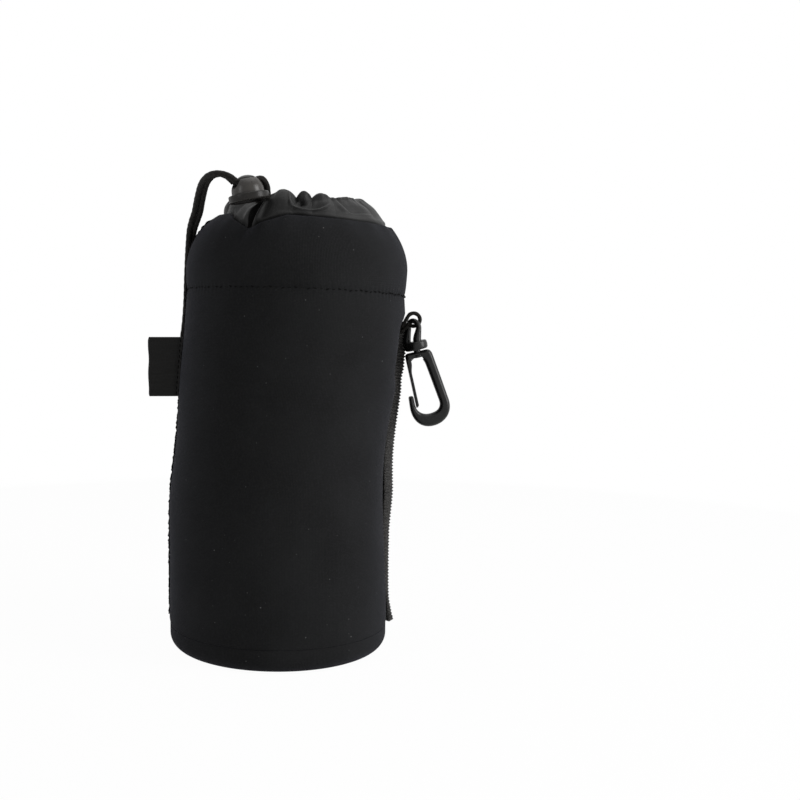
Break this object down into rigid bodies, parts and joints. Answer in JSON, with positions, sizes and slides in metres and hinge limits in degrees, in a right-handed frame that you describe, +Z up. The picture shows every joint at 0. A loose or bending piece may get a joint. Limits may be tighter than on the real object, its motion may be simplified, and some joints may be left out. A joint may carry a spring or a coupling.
{
  "type": "lens pouch",
  "caption": "Soft drawstring lens pouch: padded round body, gathered nylon mouth closed by a cord and spring cord lock, side label, hook-and-loop belt strap and swivel snap hook.",
  "frame": {"origin": "centre of the base, on the surface that the pouch stands on", "axes": "+Z up along the body, front towards -Y, snap hook and strap on the +X side, label on the -X side"},
  "size_m": [0.129, 0.092, 0.1966],
  "materials": {
    "neoprene": "matte black knit over foam",
    "nylon": "thin woven nylon with a slight sheen",
    "cord": "round braided cord",
    "lock_plastic": "smooth satin moulding",
    "spring_steel": "bright wire",
    "label_satin": "bare satin ribbon",
    "webbing": "ribbed woven webbing",
    "fastener_tape": "hook and loop tape",
    "hook_plastic": "satin moulding"
  },
  "bodies": {
    "pouch": {"base_cup": "neoprene", "body_wall": "neoprene", "gathered_collar": "nylon", "draw_cord": "cord", "side_label": "label_satin", "hook_loop": "cord", "strap_anchor": "webbing", "strap_loop_tape": "fastener_tape"},
    "cord_lock": {"lock_barrel": "lock_plastic", "lock_spring": "spring_steel", "draw_cord_tail": "cord"},
    "lock_button": {"lock_plunger": "lock_plastic"},
    "belt_strap": {"strap_flap": "webbing", "strap_hook_tape": "fastener_tape"},
    "swivel": {"swivel_eye": "hook_plastic"},
    "hook": {"hook_body": "hook_plastic"},
    "gate": {"hook_gate": "hook_plastic"}
  },
  "joints": [
    {"name": "lock_slide", "type": "slide", "parent": "pouch", "child": "cord_lock", "axis": [-0.8925, -0.4226, -0.1574], "range_m": [0, 0.01]},
    {"name": "plunger_press", "type": "slide", "parent": "cord_lock", "child": "lock_button", "axis": [-0.1736, 0, 0.9848], "range_m": [0, 0.0015], "stiffness_N_per_m": 400, "springref_m": -0.002, "deforming": ["lock_spring"]},
    {"name": "strap_peel", "type": "hinge", "parent": "pouch", "child": "belt_strap", "pos_m": [0.04643, 0.02538, 0.1223], "axis": [0.5299, -0.848, 0], "range_deg": [0, 100]},
    {"name": "hook_swing", "type": "hinge", "parent": "pouch", "child": "swivel", "pos_m": [0.0582, 0.01, 0.1382], "axis": [0, -1, 0], "range_deg": [0, 65]},
    {"name": "hook_swivel", "type": "hinge", "parent": "swivel", "child": "hook", "pos_m": [0.05684, 0.01, 0.13789], "axis": [-0.225, 0, 0.9744], "continuous": true},
    {"name": "gate_flex", "type": "hinge", "parent": "hook", "child": "gate", "pos_m": [0.05695, 0.01, 0.12005], "axis": [0, -1, 0], "range_deg": [0, 20], "stiffness_Nm_per_rad": 0.05, "springref_deg": -2.86}
  ]
}
